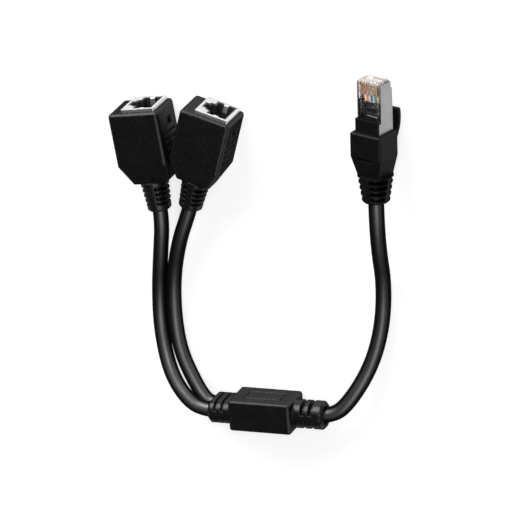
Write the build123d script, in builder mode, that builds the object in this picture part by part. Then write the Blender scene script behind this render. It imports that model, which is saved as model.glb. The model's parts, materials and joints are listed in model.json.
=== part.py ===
# Network splitter lead: one shielded 8-way plug, a moulded junction block and two shielded 8-way
# sockets, joined by three black cables. It lies flat: +Z up, the block's narrow side on the ground
# with its middle at the origin, the block's length along X and the plug and sockets towards +Y.
# All sizes are in millimetres.

from build123d import *
import math
import os

# Fits
fit = 0.05
loose_fit = 0.15
running_gap = 0.3

# Ways of the connector
ways = 8
pitch = 1.016
way_offsets = [(n - (ways - 1) / 2) * pitch for n in range(ways)]

# Cables
branch_diameter = 6.3
main_diameter = 6.5
conductor_diameter = 0.8
conductor_pitch = 1.3
conductor_sides = 6
conductor_overlap = 0.2
clamp_length = 1.2
bend_share = 0.45

# Socket mouldings, the same left and right
jack_width = 22.0
jack_height = 19.0
jack_box_length = 22.8
jack_taper_length = 9.0
jack_taper_width = 14.8
jack_taper_height = 11.2
jack_round = 1.5
jack_relief_length = 12.8
jack_relief_root = 12.0
jack_relief_tip = 9.8
jack_groove_first = 2.5
jack_groove_count = 4
jack_grip_width = 11.5
jack_grip_groove = 0.95
jack_grip_depth = 0.8
jack_grip_first = 11.3
jack_grip_step = 2.9
jack_grip_count = 4
jack_panel_length = 3.4
jack_panel_width = 7.0
jack_panel_start = 5.2

# Folded shield of a socket
sheet = 0.3
shield_width = 14.6
shield_height = 16.0
shield_margin = 1.6
shield_proud = 1.4
shield_depth = 16.1
shield_corner = 0.5
spring_sheet = 0.25
spring_width = 2.0
spring_place = 3.6
spring_length = 7.0
spring_rise = 0.8
spring_rest = 0.2
spring_bend = 0.35

# Mouth of a socket
socket_rim = 2.2
socket_lip = 0.8
socket_drop = 6.9
socket_span = 11.9
socket_depth = 12.0
notch_drop = 1.7
notch_span = 6.2
key_drop = 1.9
key_span = 3.5

# Contacts of a socket
wire_thick = 0.3
wire_width = 0.4
wire_bend = 0.5
contact_front = 1.5
contact_hook = 1.2
contact_reach = 8.1
contact_slope = 3.3
tail_short = 18.5
tail_long = 21.0
comb_front = 0.6

# Inner mould behind a socket
mould_side = 0.3
mould_end_width = 9.4
mould_end_height = 8.6
mould_end = 28.3
solder_gap = 0.2

# Strain relief grooves
relief_groove = 0.9
relief_step = 2.15
relief_web = 3.0
relief_wall = 0.65
relief_flare = 0.2
relief_tip_edge = 0.6
mouth_depth = 3.2
jack_mouth_room = 0.35
block_tip_edge = 1.1
block_mouth_room = 0.7
plug_mouth_room = 0.9

# Junction block
block_length = 27.0
block_thick = 13.3
block_height = 17.2
block_round = 1.2
branch_spacing = 6.8
twin_relief_length = 9.5
twin_relief_thick = 10.2
single_relief_length = 13.0
single_relief_diameter = 12.0
block_groove = 1.0
twin_groove_first = 2.6
twin_groove_step = 3.1
single_groove_first = 3.6
single_groove_step = 3.5
block_groove_count = 2
frame_length = 16.0
frame_height = 7.4
frame_line = 0.5
frame_depth = 0.35
chamber_length = 20.0
chamber_thick = 8.4
chamber_height = 13.4
board_length = 14.0
board_grip = 0.6
board_thick = 1.0
pad_near = 3.0
pad_far = 5.5
pad_main = 3.2
pad_pitch = 1.05

# Plug
plug_width = 11.7
plug_thick = 6.6
plug_length = 23.2
plug_nose_round = 0.8
blade_thick = 0.35
blade_length = 4.8
blade_height = 3.1
blade_sink = 0.35
blade_front = 1.2
blade_tooth = 0.8
plug_wire_diameter = 0.9
plug_wire_front = 1.4
jacket_front = 9.4
jacket_flat_width = 8.2
jacket_flat_thick = 4.2
jacket_flat_round = 2.0
jacket_drop = 0.6
clamp_start = 11.4
clamp_span = 3.6
clamp_width = 8.6
clamp_depth = 0.9
clamp_slope_depth = 0.3
ledge_start = 7.6
ledge_length = 2.0
ledge_depth = 0.5
shield_start = 1.0
shield_ear_start = 17.2
shield_ear_rise = 1.4
rear_start = 4.0
rear_rise = 1.2
latch_channel = 7.0
latch_channel_end = 18.0

# Latch of the plug
latch_root_width = 6.2
latch_shoulder = 8.6
latch_tip_width = 3.3
latch_length = 16.8
latch_thick = 1.0
latch_lift = 2.6
latch_bead = 1.3
latch_root_length = 2.9
latch_root_drop = 0.65
latch_bend = 1.0

# Boot of the plug
boot_width = 15.2
boot_front_side = 7.1
boot_back_side = 5.8
boot_box_length = 10.5
boot_taper_length = 8.6
boot_end_width = 10.9
boot_end_thick = 10.6
boot_round = 1.1
boot_relief_length = 11.4
boot_relief_root = 14.9
boot_relief_tip = 11.5
boot_groove_first = 0.9
boot_groove = 1.05
boot_groove_step = 2.6
boot_groove_count = 4
boot_web = 2.6
boot_socket = 1.2
tongue_length = 5.8
tongue_width = 11.0
tongue_thick = 2.2
window_width = 7.6
window_height = 1.6
window_depth = 1.3
window_drop = 11.0

# Guard over the latch, hinged at the back of the boot: its root lies behind the boot's front edge,
# and its middle and end lie ahead of that edge
guard_width = 9.0
guard_thick = 1.3
guard_root = 6.6
guard_root_lift = 1.3
guard_middle = 1.0
guard_middle_lift = 5.4
guard_end = 6.7
guard_end_lift = 5.3
guard_boss_length = 3.4

# Where the pieces lie
left_turn = 7.0
right_turn = -17.0
plug_turn = -2.5
plug_roll = 16.0
plug_height = 13.2
left_place = (-45.2, 131.1)
right_place = (-13.4, 131.2)
plug_place = (58.6, 150.6)

# Straight stretch of each cable behind its connector
left_run = 8.0
right_run = 6.0
main_run = 10.0


def seat_at(place, height, turn, roll=0.0):
    """Plane at a connector's face: x across it, y out of it along its axis, z up through it."""
    turn, roll = math.radians(turn), math.radians(roll)
    across = Vector(math.cos(turn), math.sin(turn), 0) * math.cos(roll) + Vector(0, 0, math.sin(roll))
    out = Vector(-math.sin(turn), math.cos(turn), 0)
    return Plane(origin=(*place, height), x_dir=across, z_dir=across.cross(out))


def behind(seat, depth):
    """Plane across a seat's axis, this far behind its face and looking backwards."""
    return Plane(origin=seat.from_local_coords((0, -depth, 0)), x_dir=seat.x_dir, z_dir=-seat.y_dir)


def lengthwise(seat, aside=0.0):
    """Plane that holds a seat's axis: its x runs out along the axis and its y is up."""
    return Plane(origin=seat.from_local_coords((aside, 0, 0)), x_dir=seat.y_dir, z_dir=seat.x_dir)


left_seat = seat_at(left_place, jack_height / 2, left_turn)
right_seat = seat_at(right_place, jack_height / 2, right_turn)
plug_seat = seat_at(plug_place, plug_height, plug_turn, plug_roll)
twin_seat = Plane(origin=(0, 0, block_height / 2), x_dir=(0, 1, 0), z_dir=(0, 0, 1))
single_seat = Plane(origin=(0, 0, block_height / 2), x_dir=(0, -1, 0), z_dir=(0, 0, 1))
main_exit = single_seat.rotated((0, 0, 180))

# Places worked out from the sizes
shield_middle = jack_width / 2 - shield_margin - shield_width / 2
socket_wall = jack_width / 2 - shield_margin - socket_rim
contact_line = socket_wall + (shield_width / 2 + shield_middle - socket_wall) / 2
jack_body_length = jack_box_length + jack_taper_length
jack_length = jack_body_length + jack_relief_length
jack_cable_end = mould_end - clamp_length
plug_seen = plug_length - boot_socket
boot_end = plug_seen + boot_box_length + boot_taper_length
boot_length = boot_end + boot_relief_length
plug_wire_level = plug_thick / 2 - blade_sink - blade_height - fit - plug_wire_diameter / 2
guard_face = -boot_back_side
boss_front = plug_seen + guard_root + guard_thick / 2 + running_gap


def add_relief(seat, start, length, root, tip, edge=relief_tip_edge):
    """Add a round strain relief to the open part: a cone on the seat's axis with its edge broken."""
    end = start + length
    with BuildSketch(lengthwise(seat)) as profile:
        with BuildLine():
            Polyline(
                (-start, 0),
                (-start, root / 2),
                (-end + edge, tip / 2),
                (-end, tip / 2 - edge),
                (-end, 0),
                close=True,
            )
        make_face()
    revolve(profile.sketch, axis=Axis(seat.origin, seat.y_dir))


def groove_rings(seat, starts, width, core, reach, web, turns):
    """Ring grooves round a seat's axis, flared towards their mouths and left whole where the webs run."""
    flare = relief_flare * (reach - core)
    with BuildPart() as rings:
        with BuildSketch(lengthwise(seat)) as profile:
            for start in starts:
                with BuildLine():
                    Polyline(
                        (-start, core),
                        (-start - width, core),
                        (-start - width - flare, reach),
                        (-start + flare, reach),
                        close=True,
                    )
                make_face()
        revolve(profile.sketch, axis=Axis(seat.origin, seat.y_dir))
        with BuildSketch(behind(seat, starts[0] - flare)) as webs:
            for turn in turns:
                Rectangle(2 * reach, web, rotation=turn)
        extrude(webs.sketch, amount=starts[-1] - starts[0] + width + 2 * flare, mode=Mode.SUBTRACT)
    return rings


def draw_socket(room=0.0):
    """Mouth of a socket with its two steps for the latch, in the open sketch."""
    with Locations((socket_wall - socket_drop / 2, 0)):
        Rectangle(socket_drop + 2 * room, socket_span + 2 * room)
    with Locations((socket_wall - socket_drop - notch_drop / 2, 0)):
        Rectangle(notch_drop + 2 * room, notch_span + 2 * room)
    with Locations((socket_wall - socket_drop - notch_drop - key_drop / 2, 0)):
        Rectangle(key_drop + 2 * room, key_span + 2 * room)


def tapered_box(seat, start, width, front, back, length, taper, end_width, end_height, edge_round):
    """Box with rounded edges and rim, and behind it a taper down to a smaller end on the axis."""
    height, middle = front + back, (front - back) / 2
    with BuildPart() as form:
        with BuildSketch(behind(seat, start)):
            with Locations((0, middle)):
                Rectangle(width, height)
        extrude(amount=length)
        rim = form.faces().sort_by(Axis(seat.origin, seat.y_dir))[-1].edges()
        fillet(rim + form.edges().filter_by(Axis(seat.origin, seat.y_dir)), radius=edge_round)
        with BuildSketch(behind(seat, start + length)):
            with Locations((0, middle)):
                RectangleRounded(width, height, edge_round)
        with BuildSketch(behind(seat, start + length + taper)):
            RectangleRounded(end_width, end_height, edge_round)
        loft(ruled=True)
    return form


def bundle_spots(count=ways):
    """Places of the conductors in a cable's end: two rows, by turns front and back."""
    spots = []
    for n in range(count):
        place = (n // 2 - (count // 2 - 1) / 2) * conductor_pitch
        side = conductor_pitch / 2 if n % 2 == 0 else -conductor_pitch / 2
        spots.append((side, place))
    return spots


def jack_wire_runs(seat):
    """Start and end of each conductor, from the cable's end to a contact's tail."""
    runs = []
    for n, (side, place) in enumerate(bundle_spots()):
        tail = tail_short if n % 2 == 0 else tail_long
        start = seat.from_local_coords((side, -jack_cable_end - conductor_overlap, place))
        end = seat.from_local_coords((contact_line, -tail - solder_gap, way_offsets[n]))
        reach = end - start
        runs.append((start, end - reach.normalized() * (conductor_diameter / 2 + solder_gap)))
    return runs


def board_wire_runs(seat, height, level, near, far):
    """Start and end of each branch conductor, from its cable's end to a pad on the board."""
    face = 1 if height > 0 else -1
    runs = []
    for n, (side, place) in enumerate(bundle_spots()):
        row = height - face * side
        pad = near if n % 2 == 0 else far
        start = seat.from_local_coords((place, chamber_length / 2 - clamp_length + conductor_overlap, row))
        end = seat.from_local_coords(((n - (ways - 1) / 2) * pad_pitch, pad, face * level))
        runs.append((start, end))
    return runs


def main_wire_runs(seat, level):
    """Start and end of each main conductor, by turns on the upper and the lower face of the board."""
    runs = []
    for n, (side, place) in enumerate(bundle_spots()):
        row = math.copysign(level, side)
        start = seat.from_local_coords((place, chamber_length / 2 - clamp_length + conductor_overlap, row))
        end = seat.from_local_coords(((n - (ways - 1) / 2) * pad_pitch, pad_main, row))
        runs.append((start, end))
    return runs


def run_conductor(run, diameter, beyond=0.0, mode=Mode.ADD):
    """Add one conductor along its run to the open part, or cut its bore."""
    start, end = run
    reach = end - start
    with BuildSketch(Plane(origin=start, z_dir=reach)) as section:
        RegularPolygon(radius=diameter / 2, side_count=conductor_sides)
    extrude(section.sketch, amount=reach.length + beyond, mode=mode)


def mould_form(seat, room=0.0):
    """Outer form of the inner mould, with this much room round it."""
    width = shield_width - 2 * mould_side + 2 * room
    height = shield_height - 2 * mould_side + 2 * room
    with BuildPart() as form:
        with BuildSketch(behind(seat, shield_depth + fit - room)):
            with Locations((shield_middle, 0)):
                Rectangle(width, height)
        extrude(amount=jack_box_length - shield_depth - fit + room)
        with BuildSketch(behind(seat, jack_box_length)):
            with Locations((shield_middle, 0)):
                Rectangle(width, height)
        with BuildSketch(behind(seat, mould_end + room)):
            Rectangle(mould_end_width + 2 * room, mould_end_height + 2 * room)
        loft()
    return form


def jack_housing(seat):
    """Outer moulding of a socket: box, taper, strain relief, and the pockets for what it holds."""
    pocket = mould_form(seat, fit)
    side = jack_height / 2
    first = jack_body_length + jack_groove_first
    starts = [first + n * relief_step for n in range(jack_groove_count)]
    core = branch_diameter / 2 + relief_wall
    grooves = groove_rings(seat, starts, relief_groove, core, jack_relief_root / 2, relief_web, [90])
    outside = tapered_box(
        seat, 0, jack_width, side, side, jack_box_length, jack_taper_length, jack_taper_width,
        jack_taper_height, jack_round,
    )
    with BuildPart() as housing:
        add(outside.part)
        add_relief(seat, jack_body_length, jack_relief_length, jack_relief_root, jack_relief_tip)
        add(grooves.part, mode=Mode.SUBTRACT)
        with BuildSketch(lengthwise(seat, jack_width / 2)):
            for n in range(jack_grip_count):
                with Locations((-jack_grip_first - n * jack_grip_step, 0)):
                    Rectangle(jack_grip_groove, jack_grip_width)
            with Locations((-jack_panel_start - jack_panel_length / 2, 0)):
                Rectangle(jack_panel_length, jack_panel_width)
        extrude(amount=-jack_grip_depth, mode=Mode.SUBTRACT)
        with BuildSketch(behind(seat, 0)):
            with Locations((shield_middle, 0)):
                Rectangle(shield_width + 2 * fit, shield_height + 2 * fit)
        extrude(amount=shield_depth + fit, mode=Mode.SUBTRACT)
        add(pocket.part, mode=Mode.SUBTRACT)
        with BuildSketch(behind(seat, jack_cable_end)):
            Circle(branch_diameter / 2 + fit)
        extrude(amount=jack_length - jack_cable_end, mode=Mode.SUBTRACT)
        with BuildSketch(behind(seat, jack_length - mouth_depth)):
            Circle(branch_diameter / 2 + jack_mouth_room)
        extrude(amount=mouth_depth, mode=Mode.SUBTRACT)
    return housing


def jack_shield(seat):
    """Folded sheet round the socket, with the mouth in its face and a ground spring on each side."""
    with BuildPart() as shield:
        with BuildSketch(behind(seat, -shield_proud)):
            with Locations((shield_middle, 0)):
                RectangleRounded(shield_width, shield_height, shield_corner)
        extrude(amount=shield_proud + shield_depth)
        with BuildSketch(behind(seat, sheet - shield_proud)):
            with Locations((shield_middle, 0)):
                Rectangle(shield_width - 2 * sheet, shield_height - 2 * sheet)
        extrude(amount=shield_proud + shield_depth - sheet, mode=Mode.SUBTRACT)
        with BuildSketch(behind(seat, -shield_proud)):
            draw_socket(socket_lip)
        extrude(amount=sheet, mode=Mode.SUBTRACT)
        face = shield_proud - sheet / 2
        edge = socket_span / 2
        for side in (1, -1):
            with BuildSketch(lengthwise(seat, spring_place)):
                with BuildLine() as strip:
                    FilletPolyline(
                        (face, side * (edge + socket_lip + sheet)),
                        (face, side * (edge - spring_rest)),
                        (-spring_length / 4, side * (edge - spring_rise)),
                        (-spring_length, side * (edge - spring_rest)),
                        radius=spring_bend,
                    )
                trace(strip.line, line_width=spring_sheet)
            extrude(amount=spring_width / 2, both=True)
    return shield


def jack_insulator(seat):
    """Plastic insert in the shield, with the socket's hollow and a comb for the contacts."""
    front = shield_proud - sheet - fit
    slot = wire_width + 2 * loose_fit
    with BuildPart() as insulator:
        with BuildSketch(behind(seat, -front)):
            with Locations((shield_middle, 0)):
                Rectangle(shield_width - 2 * sheet - 2 * fit, shield_height - 2 * sheet - 2 * fit)
        extrude(amount=front + shield_depth)
        with BuildSketch(behind(seat, -front)):
            draw_socket(2 * fit)
        extrude(amount=front + socket_depth, mode=Mode.SUBTRACT)
        channel = wire_thick + 2 * loose_fit
        with BuildSketch(*[seat.offset(place) for place in way_offsets]):
            with Locations((contact_line, -(shield_depth + comb_front) / 2)):
                Rectangle(channel, shield_depth - comb_front)
            comb_end = contact_front + contact_reach + wire_thick
            with Locations(((contact_line + socket_wall) / 2, -(comb_front + comb_end) / 2)):
                Rectangle(contact_line - socket_wall + wire_thick, comb_end - comb_front)
        extrude(amount=slot / 2, both=True, mode=Mode.SUBTRACT)
    return insulator


def jack_contact(seat, number):
    """Spring wire: from its tail along the wall, round at the mouth and sloping back into the hollow."""
    tail = tail_short if number % 2 == 0 else tail_long
    with BuildPart() as contact:
        with BuildSketch(seat.offset(way_offsets[number])):
            with BuildLine() as wire:
                FilletPolyline(
                    (contact_line, -tail),
                    (contact_line, -contact_front),
                    (contact_line - contact_hook, -contact_front),
                    (contact_line - contact_hook - contact_slope, -contact_front - contact_reach),
                    radius=wire_bend,
                )
            trace(wire.line, line_width=wire_thick)
        extrude(amount=wire_width / 2, both=True)
    return contact


def jack_inner_mould(seat):
    """Hard mould behind the insert, round the contacts' tails and the conductors."""
    form = mould_form(seat)
    with BuildPart() as mould:
        add(form.part)
        with BuildSketch(behind(seat, shield_depth)):
            with Locations((contact_line, 0)):
                Rectangle(wire_thick + 2 * loose_fit, ways * pitch)
        extrude(amount=tail_long - shield_depth, mode=Mode.SUBTRACT)
        for run in jack_wire_runs(seat):
            run_conductor(run, conductor_diameter + 2 * fit, conductor_diameter / 2, Mode.SUBTRACT)
        with BuildSketch(behind(seat, jack_cable_end)):
            Circle(branch_diameter / 2 + fit)
        extrude(amount=clamp_length, mode=Mode.SUBTRACT)
    return mould


def cable_end(plane, length, diameter, runs):
    """Fixed end of a cable inside a moulding: its jacket and the bared conductors."""
    with BuildPart() as end:
        with BuildSketch(plane):
            Circle(diameter / 2)
        extrude(amount=length)
        for run in runs:
            run_conductor(run, conductor_diameter)
    return end


def junction_housing():
    """Junction block with a twin strain relief for the branches and a round one for the main cable."""
    twin_end = block_length / 2 + twin_relief_length
    single_end = block_length / 2 + single_relief_length
    first = block_length / 2 + single_groove_first
    starts = [first + n * single_groove_step for n in range(block_groove_count)]
    core = main_diameter / 2 + relief_wall
    grooves = groove_rings(
        main_exit, starts, block_groove, core, single_relief_diameter / 2 + fit, relief_web, [90],
    )
    with BuildPart() as housing:
        with BuildSketch(Plane.XY):
            Rectangle(block_length, block_thick)
        extrude(amount=block_height)
        fillet(housing.edges(), radius=block_round)
        with BuildSketch(behind(twin_seat, -twin_end)):
            SlotCenterToCenter(branch_spacing, twin_relief_thick, rotation=90)
        extrude(amount=twin_relief_length + block_round)
        tip = housing.faces().sort_by(Axis.X)[0]
        chamfer(tip.edges(), length=block_tip_edge)
        first = block_length / 2 + twin_groove_first
        starts = [first + n * twin_groove_step for n in range(block_groove_count)]
        with BuildSketch(*[behind(twin_seat, -start - block_groove) for start in starts]):
            Rectangle(branch_spacing + 2 * twin_relief_thick, 2 * twin_relief_thick)
            SlotCenterToCenter(
                branch_spacing, branch_diameter + 2 * relief_wall, rotation=90, mode=Mode.SUBTRACT
            )
            Rectangle(relief_web, 2 * twin_relief_thick, mode=Mode.SUBTRACT)
        extrude(amount=block_groove, mode=Mode.SUBTRACT)
        sunk = block_length / 2 - block_round
        add_relief(
            main_exit, sunk, single_end - sunk, single_relief_diameter, single_relief_diameter,
            block_tip_edge,
        )
        add(grooves.part, mode=Mode.SUBTRACT)
        side = Plane(origin=(0, block_thick / 2, block_height / 2), x_dir=(1, 0, 0), z_dir=(0, 1, 0))
        with BuildSketch(side):
            Rectangle(frame_length, frame_height)
            Rectangle(frame_length - 2 * frame_line, frame_height - 2 * frame_line, mode=Mode.SUBTRACT)
        extrude(amount=-frame_depth, mode=Mode.SUBTRACT)
        with BuildSketch(Plane.XY.offset(block_height / 2)):
            Rectangle(chamber_length, chamber_thick)
        extrude(amount=chamber_height / 2, both=True, mode=Mode.SUBTRACT)
        with BuildSketch(Plane.XY.offset(block_height / 2)):
            Rectangle(board_length + 2 * fit, chamber_thick + 2 * board_grip + 2 * fit)
        extrude(amount=board_thick / 2 + fit, both=True, mode=Mode.SUBTRACT)
        with BuildSketch(behind(twin_seat, -twin_end)):
            with GridLocations(0, branch_spacing, 1, 2):
                Circle(branch_diameter / 2 + fit)
        extrude(amount=twin_end - chamber_length / 2, mode=Mode.SUBTRACT)
        with BuildSketch(behind(twin_seat, -twin_end)):
            with GridLocations(0, branch_spacing, 1, 2):
                Circle(branch_diameter / 2 + block_mouth_room)
        extrude(amount=mouth_depth, mode=Mode.SUBTRACT)
        with BuildSketch(behind(single_seat, -single_end)):
            Circle(main_diameter / 2 + fit)
        extrude(amount=single_end - chamber_length / 2, mode=Mode.SUBTRACT)
        with BuildSketch(behind(single_seat, -single_end)):
            Circle(main_diameter / 2 + block_mouth_room)
        extrude(amount=mouth_depth, mode=Mode.SUBTRACT)
    return housing


def junction_board():
    """Small circuit board that joins the three cables, held in slots of the block."""
    with BuildPart() as board:
        with BuildSketch(Plane.XY.offset(block_height / 2)):
            Rectangle(board_length, chamber_thick + 2 * board_grip)
        extrude(amount=board_thick / 2, both=True)
    return board


def plug_body():
    """Clear body of the plug: slots for the blades, room for the wires, and the cable clamp."""
    half = plug_thick / 2
    width = plug_width - 2 * sheet - 2 * fit
    with BuildPart() as body:
        with BuildSketch(behind(plug_seat, 0)):
            Rectangle(width, plug_thick)
        extrude(amount=plug_length)
        nose = body.faces().sort_by(Axis(plug_seat.origin, plug_seat.y_dir))[-1]
        fillet(nose.edges(), radius=plug_nose_round)
        rail_start = rear_start + sheet + fit
        with BuildSketch(behind(plug_seat, rail_start)):
            with Locations((0, -half - rear_rise / 2)):
                Rectangle(width, rear_rise)
        extrude(amount=plug_length - rail_start)
        with BuildSketch(behind(plug_seat, rail_start)):
            with Locations((0, -half - rear_rise / 2)):
                Rectangle(latch_channel, rear_rise)
        extrude(amount=latch_channel_end - rail_start, mode=Mode.SUBTRACT)
        with BuildSketch(plug_seat.offset(half)):
            with Locations((0, -ledge_start - ledge_length / 2)):
                Rectangle(clamp_width, ledge_length)
        extrude(amount=-ledge_depth, mode=Mode.SUBTRACT)
        with BuildSketch(plug_seat.offset(half)):
            with Locations((0, -blade_front - blade_length / 2)):
                with GridLocations(pitch, 0, ways, 1):
                    Rectangle(blade_thick + 2 * fit, blade_length + 2 * fit)
        extrude(amount=-(blade_sink + blade_height + 2 * fit), mode=Mode.SUBTRACT)
        with BuildSketch(behind(plug_seat, plug_wire_front)):
            with Locations((0, plug_wire_level)):
                Rectangle(ways * pitch + 2 * fit, plug_wire_diameter + 2 * fit)
        extrude(amount=jacket_front - plug_wire_front, mode=Mode.SUBTRACT)
        with BuildSketch(behind(plug_seat, jacket_front)):
            with Locations((0, -jacket_drop)):
                Rectangle(jacket_flat_width + 2 * fit, jacket_flat_thick + 2 * fit)
        extrude(amount=plug_length - jacket_front, mode=Mode.SUBTRACT)
        with BuildSketch(lengthwise(plug_seat)):
            with BuildLine():
                Polyline(
                    (-clamp_start, half),
                    (-clamp_start - clamp_slope_depth, half - clamp_depth),
                    (-clamp_start - clamp_span / 2, half - clamp_slope_depth),
                    (-clamp_start - clamp_span, half - clamp_depth),
                    (-clamp_start - clamp_span - clamp_slope_depth, half),
                    close=True,
                )
            make_face()
        extrude(amount=clamp_width / 2, both=True, mode=Mode.SUBTRACT)
    return body


def plug_shield():
    """Folded sheet on both sides and the back of the plug, deeper behind its nose, with a latch slot."""
    half = plug_thick / 2
    inner = plug_width / 2 - sheet
    back = half + fit
    with BuildPart() as shield:
        with BuildSketch(lengthwise(plug_seat)):
            with BuildLine():
                Polyline(
                    (-shield_start, -back - sheet),
                    (-shield_start, half),
                    (-shield_ear_start, half),
                    (-shield_ear_start, half + shield_ear_rise),
                    (-plug_length, half + shield_ear_rise),
                    (-plug_length, -back - sheet - rear_rise),
                    (-rear_start, -back - sheet - rear_rise),
                    (-rear_start, -back - sheet),
                    close=True,
                )
            make_face()
        extrude(amount=plug_width / 2, both=True)
        edges = shield.edges().filter_by(Axis(plug_seat.origin, plug_seat.y_dir))
        bends = edges.group_by(Axis(plug_seat.origin, plug_seat.z_dir))[0]
        fillet(bends, radius=shield_corner)
        with BuildSketch(behind(plug_seat, 0)):
            with Locations((0, (half + shield_ear_rise - back) / 2)):
                Rectangle(2 * inner, half + shield_ear_rise + back)
        extrude(amount=plug_length, mode=Mode.SUBTRACT)
        with BuildSketch(behind(plug_seat, rear_start + sheet)):
            with Locations((0, -back - rear_rise / 2)):
                Rectangle(2 * inner, rear_rise)
        extrude(amount=plug_length - rear_start - sheet, mode=Mode.SUBTRACT)
        with BuildSketch(plug_seat.offset(-back)):
            with Locations((0, -(shield_start + latch_channel_end) / 2)):
                Rectangle(latch_channel, latch_channel_end - shield_start)
        extrude(amount=-sheet - rear_rise, mode=Mode.SUBTRACT)
    return shield


def plug_contact(place):
    """Gold blade of the plug, with the two teeth that press into its wire."""
    top = plug_thick / 2 - blade_sink
    foot = top - blade_height
    front = -blade_front
    rear = front - blade_length
    middle = (front + rear) / 2
    with BuildPart() as blade:
        with BuildSketch(lengthwise(plug_seat, place)):
            with BuildLine():
                Polyline(
                    (front - blade_tooth / 2, top),
                    (front, top - blade_tooth / 2),
                    (front, foot + blade_tooth),
                    (front - blade_tooth, foot),
                    (middle, foot + blade_tooth),
                    (rear + blade_tooth, foot),
                    (rear, foot + blade_tooth),
                    (rear, top),
                    close=True,
                )
            make_face()
        extrude(amount=blade_thick / 2, both=True)
    return blade


def plug_wire(place):
    """One insulated wire inside the plug, from under its blade to the end of the jacket."""
    with BuildPart() as wire:
        with BuildSketch(behind(plug_seat, plug_wire_front + fit)):
            with Locations((place, plug_wire_level)):
                Circle(plug_wire_diameter / 2)
        extrude(amount=jacket_front - plug_wire_front - fit)
    return wire


def plug_cable_end():
    """End of the main cable in the plug and its boot: pressed flat under the clamp and round behind it."""
    with BuildPart() as end:
        with BuildSketch(behind(plug_seat, jacket_front)):
            with Locations((0, -jacket_drop)):
                RectangleRounded(jacket_flat_width, jacket_flat_thick, jacket_flat_round)
        extrude(amount=plug_length - jacket_front)
        with BuildSketch(behind(plug_seat, plug_length)):
            Circle(main_diameter / 2)
        extrude(amount=boot_length - mouth_depth - plug_length)
    return end


def plug_boot():
    """Boot of the plug: box, taper, open strain relief, front tongue and the boss of the guard."""
    half = plug_thick / 2
    first = boot_end + boot_groove_first
    starts = [first + n * boot_groove_step for n in range(boot_groove_count)]
    core = main_diameter / 2 + relief_wall
    grooves = groove_rings(plug_seat, starts, boot_groove, core, boot_relief_root / 2, boot_web, [0, 90])
    outside = tapered_box(
        plug_seat, plug_seen, boot_width, boot_front_side, boot_back_side, boot_box_length,
        boot_taper_length, boot_end_width, boot_end_thick, boot_round,
    )
    with BuildPart() as boot:
        add(outside.part)
        add_relief(plug_seat, boot_end, boot_relief_length, boot_relief_root, boot_relief_tip)
        add(grooves.part, mode=Mode.SUBTRACT)
        with BuildSketch(plug_seat.offset(half + fit)):
            with Locations((0, -plug_seen + tongue_length / 2)):
                Rectangle(tongue_width, tongue_length)
        extrude(amount=tongue_thick)
        with BuildSketch(plug_seat.offset(guard_face)):
            with Locations((0, -boss_front - guard_boss_length / 2)):
                Rectangle(guard_width, guard_boss_length)
        extrude(amount=-guard_root_lift - guard_thick / 2)
        with BuildSketch(behind(plug_seat, plug_seen)):
            with Locations((0, (shield_ear_rise - sheet - fit - rear_rise) / 2)):
                Rectangle(plug_width + 2 * fit, plug_thick + shield_ear_rise + sheet + rear_rise + 3 * fit)
        extrude(amount=boot_socket + fit, mode=Mode.SUBTRACT)
        with BuildSketch(behind(plug_seat, plug_length)):
            Circle(main_diameter / 2 + fit)
        extrude(amount=boot_length - plug_length, mode=Mode.SUBTRACT)
        with BuildSketch(behind(plug_seat, boot_length - mouth_depth)):
            Circle(main_diameter / 2 + plug_mouth_room)
        extrude(amount=mouth_depth, mode=Mode.SUBTRACT)
        with BuildSketch(plug_seat.offset(boot_front_side)):
            with Locations((0, -plug_seen - window_drop)):
                Rectangle(window_width, window_height)
        extrude(amount=-window_depth, mode=Mode.SUBTRACT)
    return boot


def plug_latch():
    """Clear locking lever at the back of the plug: round root at the nose, shoulders, narrow thumb end."""
    level = -plug_thick / 2 - latch_root_drop - latch_thick / 2
    with BuildPart() as latch:
        with BuildSketch(lengthwise(plug_seat)):
            with BuildLine() as lever:
                FilletPolyline(
                    (-latch_bead / 2, level),
                    (-latch_root_length, level),
                    (-latch_length, level - latch_lift),
                    radius=latch_bend,
                )
            trace(lever.line, line_width=latch_thick)
            with Locations((-latch_bead / 2, level)):
                Circle(latch_bead / 2)
        extrude(amount=latch_root_width / 2, both=True)
        side = (latch_root_width - latch_tip_width) / 2
        with BuildSketch(plug_seat.offset(-plug_thick / 2)):
            with GridLocations(latch_root_width - side, 0, 2, 1):
                with Locations((0, -latch_shoulder - latch_length / 2)):
                    Rectangle(side, latch_length)
        extrude(amount=-latch_root_drop - latch_lift - 2 * latch_thick, mode=Mode.SUBTRACT)
    return latch


def latch_guard():
    """Curved flap over the latch's end, with a round root at the back of the boot."""
    with BuildPart() as guard:
        with BuildSketch(lengthwise(plug_seat)):
            with BuildLine() as flap:
                ThreePointArc(
                    (-plug_seen - guard_root, guard_face - guard_root_lift),
                    (-plug_seen + guard_middle, guard_face - guard_middle_lift),
                    (-plug_seen + guard_end, guard_face - guard_end_lift),
                )
            trace(flap.line, line_width=guard_thick)
            with Locations((-plug_seen - guard_root, guard_face - guard_root_lift)):
                Circle(guard_thick / 2)
        extrude(amount=guard_width / 2, both=True)
    return guard


def bend_radii(points):
    """Radius of each bend of a cable: as large as the two runs beside its corner allow."""
    radii = []
    for before, corner, after in zip(points, points[1:], points[2:]):
        inward, outward = Vector(*corner) - Vector(*before), Vector(*after) - Vector(*corner)
        turn = math.radians(inward.get_angle(outward))
        radii.append(bend_share * min(inward.length, outward.length) / math.tan(turn / 2))
    return radii


def run_out(seat, length):
    """Point on a connector's axis, in from this length by the depth of its mouth."""
    return tuple(seat.from_local_coords((0, mouth_depth - length, 0)))


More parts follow.
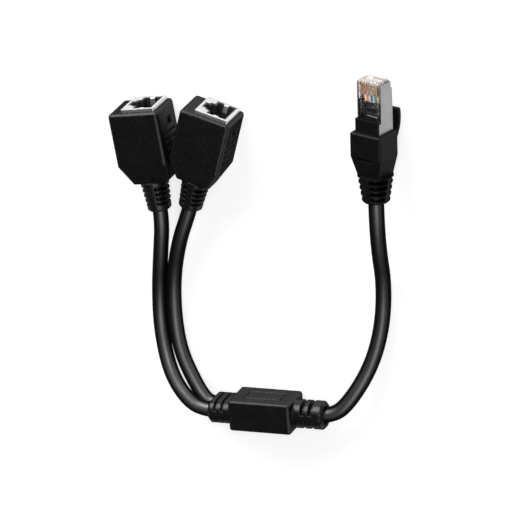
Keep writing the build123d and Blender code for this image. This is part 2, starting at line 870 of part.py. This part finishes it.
def cord(points, diameter):
    """Free cable: a round tube along straight runs and tangent bends."""
    with BuildPart() as tube:
        with BuildLine() as route:
            FilletPolyline(*points, radius=bend_radii(points))
        with BuildSketch(Plane(origin=points[0], z_dir=Vector(*points[1]) - Vector(*points[0]))):
            Circle(diameter / 2)
        sweep(path=route.line)
    return tube


def save(piece, name):
    """Label a finished piece and write it."""
    piece.part.label = name
    export_step(piece.part, f"parts/{name}.step")


os.makedirs("parts", exist_ok=True)

# Both sockets
for side, seat in (("left", left_seat), ("right", right_seat)):
    save(jack_housing(seat), f"{side}_jack_housing")
    save(jack_shield(seat), f"{side}_jack_shield")
    save(jack_insulator(seat), f"{side}_jack_insulator")
    for number in range(ways):
        save(jack_contact(seat, number), f"{side}_jack_contact_{number + 1}")
    save(jack_inner_mould(seat), f"{side}_jack_inner_mould")
    fixed_length = jack_length - mouth_depth - jack_cable_end
    fixed_end = cable_end(behind(seat, jack_cable_end), fixed_length, branch_diameter, jack_wire_runs(seat))
    save(fixed_end, f"{side}_jack_cable_end")

# Junction block
save(junction_housing(), "junction_housing")
save(junction_board(), "junction_board")
pad_level = board_thick / 2 + conductor_diameter / 2 + fit
block_end = chamber_length / 2 - clamp_length
for side, height in (("left", branch_spacing / 2), ("right", -branch_spacing / 2)):
    runs = board_wire_runs(twin_seat, height, pad_level, pad_far, pad_near)
    seat = twin_seat.offset(height)
    length = block_length / 2 + twin_relief_length - mouth_depth - block_end
    plane = behind(seat, -block_end - length)
    save(cable_end(plane, length, branch_diameter, runs), f"junction_{side}_cable_end")
length = block_length / 2 + single_relief_length - mouth_depth - block_end
runs = main_wire_runs(single_seat, pad_level)
main_end = cable_end(behind(single_seat, -block_end - length), length, main_diameter, runs)
save(main_end, "junction_main_cable_end")

# Plug
save(plug_body(), "plug_body")
save(plug_shield(), "plug_shield")
for number, place in enumerate(way_offsets):
    save(plug_contact(place), f"plug_contact_{number + 1}")
    save(plug_wire(place), f"plug_wire_{number + 1}")
save(plug_cable_end(), "plug_cable_end")
save(plug_boot(), "plug_boot")
save(plug_latch(), "plug_latch")
save(latch_guard(), "latch_guard")

# Free cables: the ends sit in the mouths of the strain reliefs
twin_mouth = -block_length / 2 - twin_relief_length + mouth_depth
single_mouth = block_length / 2 + single_relief_length - mouth_depth
upper_level = (block_height + branch_spacing) / 2
lower_level = (block_height - branch_spacing) / 2
left_route = [
    run_out(left_seat, jack_length),
    run_out(left_seat, jack_length + left_run),
    (-41.9, 66.0, 7.6),
    (-45.6, 47.5, 3.4),
    (-46.1, 30.0, 3.2),
    (-42.0, 13.6, 7.0),
    (-33.8, 4.2, 11.6),
    (-26.8, 0.0, upper_level),
    (twin_mouth, 0.0, upper_level),
]
right_route = [
    run_out(right_seat, jack_length),
    run_out(right_seat, jack_length + right_run),
    (-32.8, 73.0, 8.6),
    (-37.8, 55.0, 4.4),
    (-39.0, 37.0, 3.2),
    (-37.4, 21.6, 3.3),
    (-32.9, 9.4, 3.8),
    (-28.8, 2.6, 4.8),
    (-24.9, 0.0, lower_level),
    (twin_mouth, 0.0, lower_level),
]
main_route = [
    run_out(plug_seat, boot_length),
    run_out(plug_seat, boot_length + main_run),
    (54.9, 75.5, 10.2),
    (54.0, 58.0, 4.4),
    (51.6, 39.0, 3.4),
    (46.4, 22.2, 4.6),
    (38.0, 8.0, 7.6),
    (30.0, 0.0, block_height / 2),
    (single_mouth, 0.0, block_height / 2),
]
for name, route, diameter in (
    ("cord_left", left_route, branch_diameter),
    ("cord_right", right_route, branch_diameter),
    ("cord_main", main_route, main_diameter),
):
    tube = cord(route, diameter)
    save(tube, name)
    length = tube.part.volume / (math.pi * diameter**2 / 4)
    print(name, "length", round(length, 1), "radii", [round(radius, 1) for radius in bend_radii(route)])
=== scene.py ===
# Network splitter lead: looks, cables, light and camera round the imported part.
# Everything is in metres, in the part's own frame: the lead lies flat and +Z is up.

import json
import math

import bpy
from mathutils import Matrix, Vector


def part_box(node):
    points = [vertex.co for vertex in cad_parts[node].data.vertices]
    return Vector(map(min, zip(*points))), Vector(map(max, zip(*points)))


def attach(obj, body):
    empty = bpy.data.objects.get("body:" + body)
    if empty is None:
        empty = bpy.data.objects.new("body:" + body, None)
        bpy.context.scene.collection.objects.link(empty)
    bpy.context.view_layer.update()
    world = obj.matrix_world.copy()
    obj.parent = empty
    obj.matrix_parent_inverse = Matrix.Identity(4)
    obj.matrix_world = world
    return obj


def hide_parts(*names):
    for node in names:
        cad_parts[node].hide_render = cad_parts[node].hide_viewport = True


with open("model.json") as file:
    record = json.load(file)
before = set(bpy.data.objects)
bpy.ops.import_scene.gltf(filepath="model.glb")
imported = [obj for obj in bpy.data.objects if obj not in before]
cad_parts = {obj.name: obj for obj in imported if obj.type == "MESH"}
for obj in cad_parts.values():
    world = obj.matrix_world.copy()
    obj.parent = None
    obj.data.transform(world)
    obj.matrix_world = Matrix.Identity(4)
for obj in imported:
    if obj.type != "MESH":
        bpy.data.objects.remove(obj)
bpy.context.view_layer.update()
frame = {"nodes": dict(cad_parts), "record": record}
scene = bpy.context.scene
print("loaded", len(frame["nodes"]), "nodes")


# Camera: far off with a long lens, looking down at the lead from its right and its far side
view = {
    "aimAt": (0.0003, 0.0690, 0.0090),
    "towardsCamera": (0.350, 0.358, 0.866),
    "roll": 4.18,
    "distance": 3.0,
    "shownWidth": 0.2082,
    "farthestSeen": 20.0,
}


def placeCamera():
    back = Vector(view["towardsCamera"]).normalized()
    right = Vector((0, 1, 0)).cross(back).normalized()
    up = back.cross(right)
    turn = math.radians(view["roll"])
    rolledRight = math.cos(turn) * right - math.sin(turn) * up
    rolledUp = math.sin(turn) * right + math.cos(turn) * up
    lens = bpy.data.cameras.new("longLens")
    lens.lens = lens.sensor_width * view["distance"] / view["shownWidth"]
    lens.clip_end = view["farthestSeen"]
    camera = bpy.data.objects.new("longLensCamera", lens)
    scene.collection.objects.link(camera)
    pose = Matrix((rolledRight, rolledUp, back)).transposed().to_4x4()
    pose.translation = Vector(view["aimAt"]) + back * view["distance"]
    camera.matrix_world = pose
    scene.camera = camera


placeCamera()
print("camera placed")


# Free cables: control points from mouth to mouth, smooth between them
cables = {
    "branchDiameter": 0.0063,
    "mainDiameter": 0.0065,
    "stepsRound": 7,
    "stepsAlong": 16,
    "curveOrder": 3,
    "leftRoute": [
        (-0.04015, 0.09001, 0.0095),
        (-0.03918, 0.08207, 0.0095),
        (-0.0419, 0.0660, 0.0076),
        (-0.0456, 0.0475, 0.0034),
        (-0.0461, 0.0300, 0.0032),
        (-0.0420, 0.0136, 0.0070),
        (-0.0338, 0.0042, 0.0116),
        (-0.0268, 0.0, 0.0120),
        (-0.0198, 0.0, 0.0120),
    ],
    "rightRoute": [
        (-0.02550, 0.09161, 0.0095),
        (-0.02726, 0.08587, 0.0095),
        (-0.0328, 0.0730, 0.0086),
        (-0.0383, 0.0550, 0.0044),
        (-0.0397, 0.0370, 0.0032),
        (-0.0381, 0.0216, 0.0033),
        (-0.0330, 0.0094, 0.0038),
        (-0.0288, 0.0026, 0.0048),
        (-0.0249, 0.0, 0.0052),
        (-0.0198, 0.0, 0.0052),
    ],
    "mainRoute": [
        (0.05645, 0.10135, 0.0132),
        (0.05601, 0.09136, 0.0132),
        (0.0549, 0.0755, 0.0102),
        (0.0540, 0.0580, 0.0044),
        (0.0516, 0.0390, 0.0034),
        (0.0464, 0.0222, 0.0046),
        (0.0380, 0.0080, 0.0076),
        (0.0300, 0.0, 0.0086),
        (0.0233, 0.0, 0.0086),
    ],
    "lengths": {"left": 0.106, "right": 0.103, "main": 0.1153},
}


def layCable(side, route, diameter):
    curve = bpy.data.curves.new(side + "Cable", "CURVE")
    curve.dimensions = "3D"
    curve.bevel_depth = 1  # each point's radius gives the thickness
    curve.bevel_resolution = cables["stepsRound"]
    curve.resolution_u = cables["stepsAlong"]
    curve.use_fill_caps = True
    line = curve.splines.new("NURBS")
    line.points.add(len(route) - 1)
    for spot, place in zip(line.points, route):
        spot.co = (*place, 1)
        spot.radius = diameter / 2
    line.order_u = cables["curveOrder"]
    line.use_endpoint_u = True
    cable = bpy.data.objects.new(side + "Cable", curve)
    scene.collection.objects.link(cable)
    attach(cable, "root")
    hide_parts("cord_" + side)
    return cable


freeCables = [
    layCable("left", cables["leftRoute"], cables["branchDiameter"]),
    layCable("right", cables["rightRoute"], cables["branchDiameter"]),
    layCable("main", cables["mainRoute"], cables["mainDiameter"]),
]
print("cables laid")


# Shader maths: a socket in a node tree, with arithmetic written as expressions
class Shade:
    def __init__(self, tree, socket=None):
        self.tree = tree
        self.socket = socket

    def node(self, kind, settings=None, sockets=None, out=0):
        made = self.tree.nodes.new(kind)
        for name, value in (settings or {}).items():
            setattr(made, name, value)
        for name, value in (sockets or {}).items():
            if isinstance(value, Shade):
                self.tree.links.new(value.socket, made.inputs[name])
            else:
                made.inputs[name].default_value = value
        return None if out is None else Shade(self.tree, made.outputs[out])

    def maths(self, operation, first, second):
        return self.node("ShaderNodeMath", {"operation": operation}, {0: first, 1: second})

    def __add__(self, other):
        return self.maths("ADD", self, other)

    __radd__ = __add__

    def __sub__(self, other):
        return self.maths("SUBTRACT", self, other)

    def __rsub__(self, other):
        return self.maths("SUBTRACT", other, self)

    def __mul__(self, other):
        return self.maths("MULTIPLY", self, other)

    __rmul__ = __mul__

    def clipped(self, low, high):  # 0 at low, 1 at high
        sockets = {"Value": self, "From Min": low, "From Max": high}
        return self.node("ShaderNodeMapRange", {}, sockets)

    def blend(self, first, second):  # colour from first to second as this value goes from 0 to 1
        ends = [(*end, 1) if isinstance(end, tuple) else end for end in (first, second)]
        return self.node("ShaderNodeMix", {"data_type": "RGBA"}, {0: self, 6: ends[0], 7: ends[1]}, 2)


def newMaterial(name):
    material = bpy.data.materials.new(name)
    material.use_nodes = True
    material.node_tree.nodes.clear()
    return material, Shade(material.node_tree)


def finished(material, shade, surface):
    shade.node("ShaderNodeOutputMaterial", {}, {"Surface": surface}, None)
    return material


def shader(shade, values):
    return shade.node("ShaderNodeBsdfPrincipled", {}, values)


def mixed(factor, first, second):
    return factor.node("ShaderNodeMixShader", {}, {0: factor, 1: first, 2: second})


def surfacePlace(shade):
    return shade.node("ShaderNodeTexCoord", {}, {}, "Object")


def speckle(shade, size, detail=2.0):  # noise whose spots are about as wide as size
    sockets = {"Vector": surfacePlace(shade), "Scale": 1 / size, "Detail": detail}
    return shade.node("ShaderNodeTexNoise", {}, sockets)


def roundedNormal(shade, radius):
    return shade.node("ShaderNodeBevel", {"samples": 4}, {"Radius": radius})


def bumped(shade, height, look, normal):
    sockets = {"Height": height, "Distance": look["depth"], "Strength": look["strength"], "Normal": normal}
    return shade.node("ShaderNodeBump", {}, sockets)


def toned(noise, dark, light):  # colour that wanders from dark to light with the noise
    return noise.clipped(0.3, 0.7).blend(dark, light)


# Black mouldings and jackets: fine grained, with a soft gloss that fades where the surface turns away
blacks = {
    "moulding": {"dark": (0.0014, 0.0014, 0.0015), "light": (0.0050, 0.0050, 0.0051), "cloud": 0.006,
                 "grain": 0.00055, "depth": 0.00006, "strength": 1.0, "edge": 0.0008, "ior": 1.42,
                 "gloss": 0.16, "glossSpread": 0.24, "fadeFrom": 0.28, "fadeTo": 0.74},
    "boot": {"dark": (0.0014, 0.0014, 0.0015), "light": (0.0060, 0.0060, 0.0061), "cloud": 0.005,
             "grain": 0.00060, "depth": 0.00008, "strength": 1.0, "edge": 0.0004, "ior": 1.25,
             "gloss": 0.20, "glossSpread": 0.30, "fadeFrom": 0.25, "fadeTo": 0.65},
    "jacket": {"dark": (0.0016, 0.0016, 0.0017), "light": (0.0036, 0.0036, 0.0037), "cloud": 0.004,
               "grain": 0.0005, "depth": 0.000008, "strength": 1.0, "edge": 0.0002, "ior": 2.0,
               "gloss": 0.38, "glossSpread": 0.10, "fadeFrom": 0.09, "fadeTo": 0.34},
    "grainDetail": 4.0,
    "cloudShare": 0.3,
    "toneFrom": 0.38,
    "toneTo": 0.62,
    "mattRoughness": 0.9,
    "mattShine": 0.05,
}


def blackPlastic(name, look):
    material, shade = newMaterial(name)
    grain = speckle(shade, look["grain"], blacks["grainDetail"])
    cloud = speckle(shade, look["cloud"])
    both = blacks["cloudShare"] * cloud + (1 - blacks["cloudShare"]) * grain
    colour = both.clipped(blacks["toneFrom"], blacks["toneTo"]).blend(look["dark"], look["light"])
    rounded = roundedNormal(shade, look["edge"])
    normal = bumped(shade, grain, look, rounded)
    glossy = shader(shade, {
        "Base Color": colour,
        "Roughness": look["gloss"] + look["glossSpread"] * grain,
        "IOR": look["ior"],
        "Normal": normal,
    })
    matt = shader(shade, {
        "Base Color": colour,
        "Roughness": blacks["mattRoughness"],
        "Specular IOR Level": blacks["mattShine"],
        "Normal": normal,
    })
    turnedAway = shade.node("ShaderNodeLayerWeight", {}, {"Normal": rounded}, "Facing")
    fade = turnedAway.clipped(look["fadeFrom"], look["fadeTo"])
    return finished(material, shade, mixed(fade, glossy, matt))


# Plated sheets: a bright one round the sockets, and round the plug a rougher satin one whose colour is
# darkened as painted shade
sheets = {
    "socket": {"bright": (0.74, 0.74, 0.73), "dull": (0.63, 0.63, 0.62), "gloss": 0.24},
    # The plug's tones are the socket plating darkened as painted shade; only its higher roughness is a
    # real satin finish
    "plug": {"bright": (0.38, 0.38, 0.385), "dull": (0.32, 0.32, 0.325), "gloss": 0.36},
    "glossSpread": 0.15,
    "patch": 0.004,
    "brush": 0.0005,
    "depth": 0.00001,
    "strength": 0.3,
    "edge": 0.0001,
}


def platedSheet(name, look):
    material, shade = newMaterial(name)
    patch = speckle(shade, sheets["patch"])
    brush = speckle(shade, sheets["brush"])
    return finished(material, shade, shader(shade, {
        "Base Color": toned(patch, look["dull"], look["bright"]),
        "Metallic": 1.0,
        "Roughness": look["gloss"] + sheets["glossSpread"] * brush,
        "Normal": bumped(shade, brush, sheets, roundedNormal(shade, sheets["edge"])),
    }))


# Plain coloured plastics: inserts, inner mouldings, the board and the wires' insulation
plains = {
    "socket_insert": {"dark": (0.010, 0.010, 0.011), "light": (0.018, 0.018, 0.019), "gloss": 0.4},
    "inner_mould": {"dark": (0.70, 0.68, 0.62), "light": (0.78, 0.77, 0.72), "gloss": 0.45},
    "circuit_board": {"dark": (0.02, 0.12, 0.05), "light": (0.04, 0.18, 0.08), "gloss": 0.3},
    "wire_white_orange": {"dark": (0.80, 0.52, 0.34), "light": (0.86, 0.78, 0.70), "gloss": 0.35},
    "wire_orange": {"dark": (0.72, 0.20, 0.03), "light": (0.82, 0.26, 0.05), "gloss": 0.35},
    "wire_white_green": {"dark": (0.45, 0.66, 0.46), "light": (0.80, 0.84, 0.78), "gloss": 0.35},
    "wire_blue": {"dark": (0.03, 0.08, 0.42), "light": (0.05, 0.12, 0.52), "gloss": 0.35},
    "wire_white_blue": {"dark": (0.40, 0.50, 0.74), "light": (0.78, 0.82, 0.86), "gloss": 0.35},
    "wire_green": {"dark": (0.03, 0.26, 0.09), "light": (0.05, 0.34, 0.12), "gloss": 0.35},
    "wire_white_brown": {"dark": (0.56, 0.42, 0.32), "light": (0.80, 0.76, 0.70), "gloss": 0.35},
    "wire_brown": {"dark": (0.22, 0.09, 0.04), "light": (0.30, 0.13, 0.06), "gloss": 0.35},
}
plainSurface = {"cloud": 0.0036, "grain": 0.0006, "glossSpread": 0.1, "depth": 0.00001, "strength": 0.3,
                "edge": 0.0001}


def plainPlastic(name, look):
    material, shade = newMaterial(name)
    cloud = speckle(shade, plainSurface["cloud"])
    grain = speckle(shade, plainSurface["grain"])
    return finished(material, shade, shader(shade, {
        "Base Color": toned(cloud, look["dark"], look["light"]),
        "Roughness": look["gloss"] + plainSurface["glossSpread"] * grain,
        "Normal": bumped(shade, grain, plainSurface, roundedNormal(shade, plainSurface["edge"])),
    }))


# Gilt contacts, and the plug's blades in their order, each tinged by the wire under it
gilding = {
    "contact": ((0.72, 0.42, 0.12), (0.95, 0.70, 0.32)),
    "blades": [
        ((0.40, 0.16, 0.07), (0.60, 0.26, 0.10)),
        ((0.80, 0.26, 0.08), (0.95, 0.42, 0.14)),
        ((0.76, 0.30, 0.10), (0.95, 0.50, 0.18)),
        ((0.70, 0.42, 0.20), (0.92, 0.64, 0.34)),
        ((0.50, 0.50, 0.48), (0.76, 0.72, 0.62)),
        ((0.52, 0.50, 0.24), (0.80, 0.74, 0.38)),
        ((0.56, 0.50, 0.16), (0.84, 0.74, 0.26)),
        ((0.62, 0.34, 0.12), (0.88, 0.58, 0.22)),
    ],
    "contactMetallic": 1.0,
    "bladeMetallic": 0.4,
    "patch": 0.0009,
    "gloss": 0.22,
    "glossSpread": 0.14,
}


def gilt(name, tones, metallic):
    material, shade = newMaterial(name)
    patch = speckle(shade, gilding["patch"])
    return finished(material, shade, shader(shade, {
        "Base Color": toned(patch, *tones),
        "Metallic": metallic,
        "Roughness": gilding["gloss"] + gilding["glossSpread"] * patch,
    }))


# Clear plastic: it lets light through to what it holds, is hazy along its nose and milky at its front
clears = {
    "body": {"haze": 0.05, "milky": 0.40, "front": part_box("plug_body")[1][1]},
    "latch": {"haze": 0.45, "milky": 0.45, "front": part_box("plug_latch")[1][1]},
    "frontDepth": 0.0016,
    "noseLength": 0.0082,
    "noseFade": 0.0008,
    "tint": (0.99, 0.96, 0.95, 1),
    "ior": 1.4,
    "clearGloss": 0.03,
    "clearSpread": 0.05,
    "milk": (0.95, 0.87, 0.84),
    "milkShade": (0.88, 0.80, 0.77),
    "milkGloss": 0.2,
    "milkSpread": 0.1,
    "patch": 0.002,
    "depth": 0.00002,
    "strength": 0.3,
    "edge": 0.0002,
    "lightThrough": 0.85,
}


def clearPlastic(name, look):
    material, shade = newMaterial(name)
    patch = speckle(shade, clears["patch"])
    normal = bumped(shade, patch, clears, roundedNormal(shade, clears["edge"]))
    clear = shader(shade, {
        "Base Color": clears["tint"],
        "Transmission Weight": 1.0,
        "IOR": clears["ior"],
        "Roughness": clears["clearGloss"] + clears["clearSpread"] * patch,
        "Normal": normal,
    })
    milk = shader(shade, {
        "Base Color": toned(patch, clears["milk"], clears["milkShade"]),
        "Roughness": clears["milkGloss"] + clears["milkSpread"] * patch,
        "Normal": normal,
    })
    along = shade.node("ShaderNodeSeparateXYZ", {}, {"Vector": surfacePlace(shade)}, "Y")
    atFront = along.clipped(look["front"] - clears["frontDepth"], look["front"])
    noseStart = look["front"] - clears["noseLength"]
    inNose = along.clipped(noseStart, noseStart + clears["noseFade"])
    cloudiness = look["haze"] * inNose + (look["milky"] - look["haze"]) * atFront
    shadowRay = shade.node("ShaderNodeLightPath", {}, {}, "Is Shadow Ray")
    opening = shade.node("ShaderNodeBsdfTransparent")
    body = mixed(cloudiness, clear, milk)
    return finished(material, shade, mixed(clears["lightThrough"] * shadowRay, body, opening))


# Which finish goes where: by the record's slot, or by the node where it has a look of its own
finishes = {
    "black_moulding": blackPlastic("blackMoulding", blacks["moulding"]),
    "cable_jacket": blackPlastic("cableJacket", blacks["jacket"]),
    "plated_sheet": platedSheet("socketSheet", sheets["socket"]),
    "gold_contact": gilt("goldContact", gilding["contact"], gilding["contactMetallic"]),
    "clear_body": clearPlastic("clearBody", clears["body"]),
}
for slotName, look in plains.items():
    finishes[slotName] = plainPlastic(slotName.title().replace("_", ""), look)

boot = blackPlastic("bootMoulding", blacks["boot"])
ownFinishes = {
    "plug_shield": platedSheet("plugSheetPaintedShade", sheets["plug"]),
    "plug_latch": clearPlastic("clearLatch", clears["latch"]),
    "plug_boot": boot,
    "latch_guard": boot,
}
for number, tones in enumerate(gilding["blades"], 1):
    blade = gilt("blade" + str(number), tones, gilding["bladeMetallic"])
    ownFinishes["plug_contact_" + str(number)] = blade

for part in frame["record"]["subparts"]:
    finish = ownFinishes.get(part["node"], finishes[part["material_slot"]])
    for holder in frame["nodes"][part["node"]].material_slots:
        holder.material = finish
for cable in freeCables:
    cable.data.materials.append(finishes["cable_jacket"])
print("materials assigned")


# Floor and light: a pale floor, a wide low lamp past the sockets and two high ones
studio = {
    "floorSize": 6.0,
    "floorColour": (0.45, 0.45, 0.45, 1),
    "floorRoughness": 0.9,
    "seenGlow": 0.66,
    "lowLamp": {"place": (-0.84, 2.05, 0.95), "size": (2.1, 1.6), "power": 72.0},
    "highLamp": {"place": (0.80, -0.75, 2.0), "size": (1.5, 1.5), "power": 17.0},
    "frontLamp": {"place": (0.88, 0.97, 2.2), "size": (0.8, 0.8), "power": 20.0},
    "brightSky": (0.75, 0.75, 0.75),
    "dimSky": (0.07, 0.07, 0.07),
    "dimHeight": 0.8,
    "dimSide": -0.7,
}


def seenDirectly(shade):  # 1 for camera, glossy and see-through rays
    camera, glossy, through = [
        shade.node("ShaderNodeLightPath", {}, {}, name)
        for name in ("Is Camera Ray", "Is Glossy Ray", "Is Transmission Ray")
    ]
    return camera + glossy + through


def layFloor():
    half = studio["floorSize"] / 2
    corners = [(-half, -half, 0), (half, -half, 0), (half, half, 0), (-half, half, 0)]
    mesh = bpy.data.meshes.new("studioFloor")
    mesh.from_pydata(corners, [], [(0, 1, 2, 3)])
    floor = bpy.data.objects.new("studioFloor", mesh)
    scene.collection.objects.link(floor)
    material, shade = newMaterial("whiteFloor")
    lit = shader(shade, {"Base Color": studio["floorColour"], "Roughness": studio["floorRoughness"]})
    glow = shade.node("ShaderNodeEmission", {}, {"Color": (1, 1, 1, 1), "Strength": studio["seenGlow"]})
    brightened = shade.node("ShaderNodeAddShader", {}, {0: lit, 1: glow})
    mesh.materials.append(finished(material, shade, mixed(seenDirectly(shade), lit, brightened)))


def hangLamp(name, look):
    lamp = bpy.data.lights.new(name, "AREA")
    lamp.energy = look["power"]
    lamp.shape = "RECTANGLE"
    lamp.size, lamp.size_y = look["size"]
    holder = bpy.data.objects.new(name, lamp)
    holder.location = look["place"]
    aim = Vector(view["aimAt"]) - Vector(look["place"])
    holder.rotation_euler = aim.to_track_quat("-Z", "Y").to_euler()
    scene.collection.objects.link(holder)


def lightWorld():  # bright near the horizon on the far side, dim above and on the near side
    world = bpy.data.worlds.new("paleStudio")
    world.use_nodes = True
    world.node_tree.nodes.clear()
    scene.world = world
    shade = Shade(world.node_tree)
    towards = shade.node("ShaderNodeTexCoord", {}, {}, "Generated")
    height = shade.node("ShaderNodeSeparateXYZ", {}, {"Vector": towards}, "Z")
    side = shade.node("ShaderNodeSeparateXYZ", {}, {"Vector": towards}, "Y")
    low = 1 - height.clipped(0.0, studio["dimHeight"])
    brightness = low * side.clipped(studio["dimSide"], 1.0)
    sky = brightness.blend(studio["dimSky"], studio["brightSky"])
    light = shade.node("ShaderNodeBackground", {}, {"Color": sky})
    shade.node("ShaderNodeOutputWorld", {}, {"Surface": light}, None)


layFloor()
for lampName in ("lowLamp", "highLamp", "frontLamp"):
    hangLamp(lampName, studio[lampName])
lightWorld()
scene.view_settings.view_transform = "Standard"
print("studio lit")
